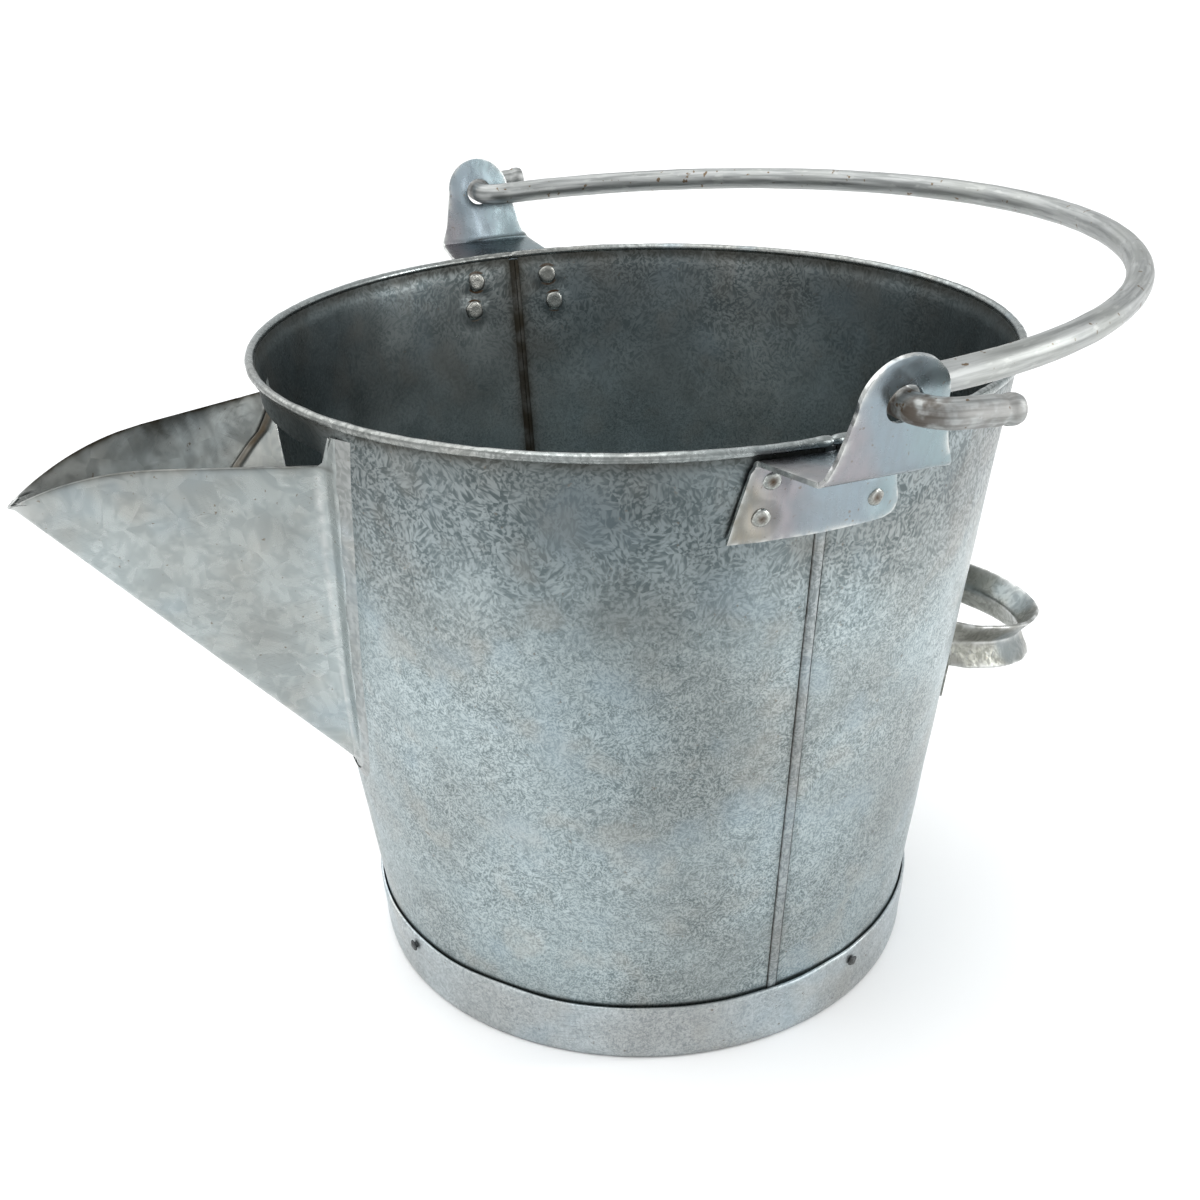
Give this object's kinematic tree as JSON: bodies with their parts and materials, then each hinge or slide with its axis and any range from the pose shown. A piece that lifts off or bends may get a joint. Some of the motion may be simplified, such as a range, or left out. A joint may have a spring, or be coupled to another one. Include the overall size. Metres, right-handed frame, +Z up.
{
  "type": "pouring pail",
  "caption": "Round tapered galvanised steel pail with a folded V spout, riveted ears, a swinging rod bail, a strap tipping handle and a foot ring.",
  "frame": {"origin": "middle of the base, on the plane that the foot ring stands on", "axes": "+Z up along the body's axis; -X towards the spout's tip; the ears and the bail's pivot lie along Y, with the near ear at -Y; the tipping handle is at +X"},
  "size_m": [0.4372, 0.411, 0.303],
  "materials": {
    "galvanised_body": "hot-dip galvanised sheet with a fine mottled spangle, satin",
    "seam": "galvanised locked fold, soldered, brown-stained in the groove",
    "rim": "galvanised rolled edge, satin",
    "wire": "plain steel wire, hidden in the rim",
    "foot": "galvanised hoop, satin, stained along its top edge",
    "spout_sheet": "smooth zinc-coated sheet, satin, scuffed",
    "solder": "dull solder",
    "bright_zinc": "bright pale-blue zinc plate, semi-gloss",
    "rod": "dull galvanised rod with streaks and rust specks",
    "handle": "dull galvanised strap, worn",
    "rivet": "zinc-coated rivet with rust in its centre",
    "nail": "dark steel nail"
  },
  "bodies": {
    "pail": {"body_front_panel": "galvanised_body", "body_rear_panel": "galvanised_body", "near_side_seam": "seam", "far_side_seam": "seam", "rim_bead": "rim", "rim_wire": "wire", "bottom_disc": "galvanised_body", "foot_ring": "foot", "spout": "spout_sheet", "spout_solder": "solder", "near_ear": "bright_zinc", "far_ear": "bright_zinc", "rear_handle": "handle", "near_ear_rivet_1": "rivet", "near_ear_rivet_2": "rivet", "near_ear_rivet_3": "rivet", "near_ear_rivet_4": "rivet", "far_ear_rivet_1": "rivet", "far_ear_rivet_2": "rivet", "far_ear_rivet_3": "rivet", "far_ear_rivet_4": "rivet", "handle_near_rivet_1": "rivet", "handle_near_rivet_2": "rivet", "handle_far_rivet_1": "rivet", "handle_far_rivet_2": "rivet", "foot_nail_1": "nail", "foot_nail_2": "nail", "foot_nail_3": "nail", "foot_nail_4": "nail"},
    "bail": {"bail": "rod"}
  },
  "joints": [
    {"name": "bail_pivot", "type": "hinge", "parent": "pail", "child": "bail", "pos_m": [0, 0, 0.288], "axis": [0, -1, 0], "range_deg": [-38, 189]}
  ]
}
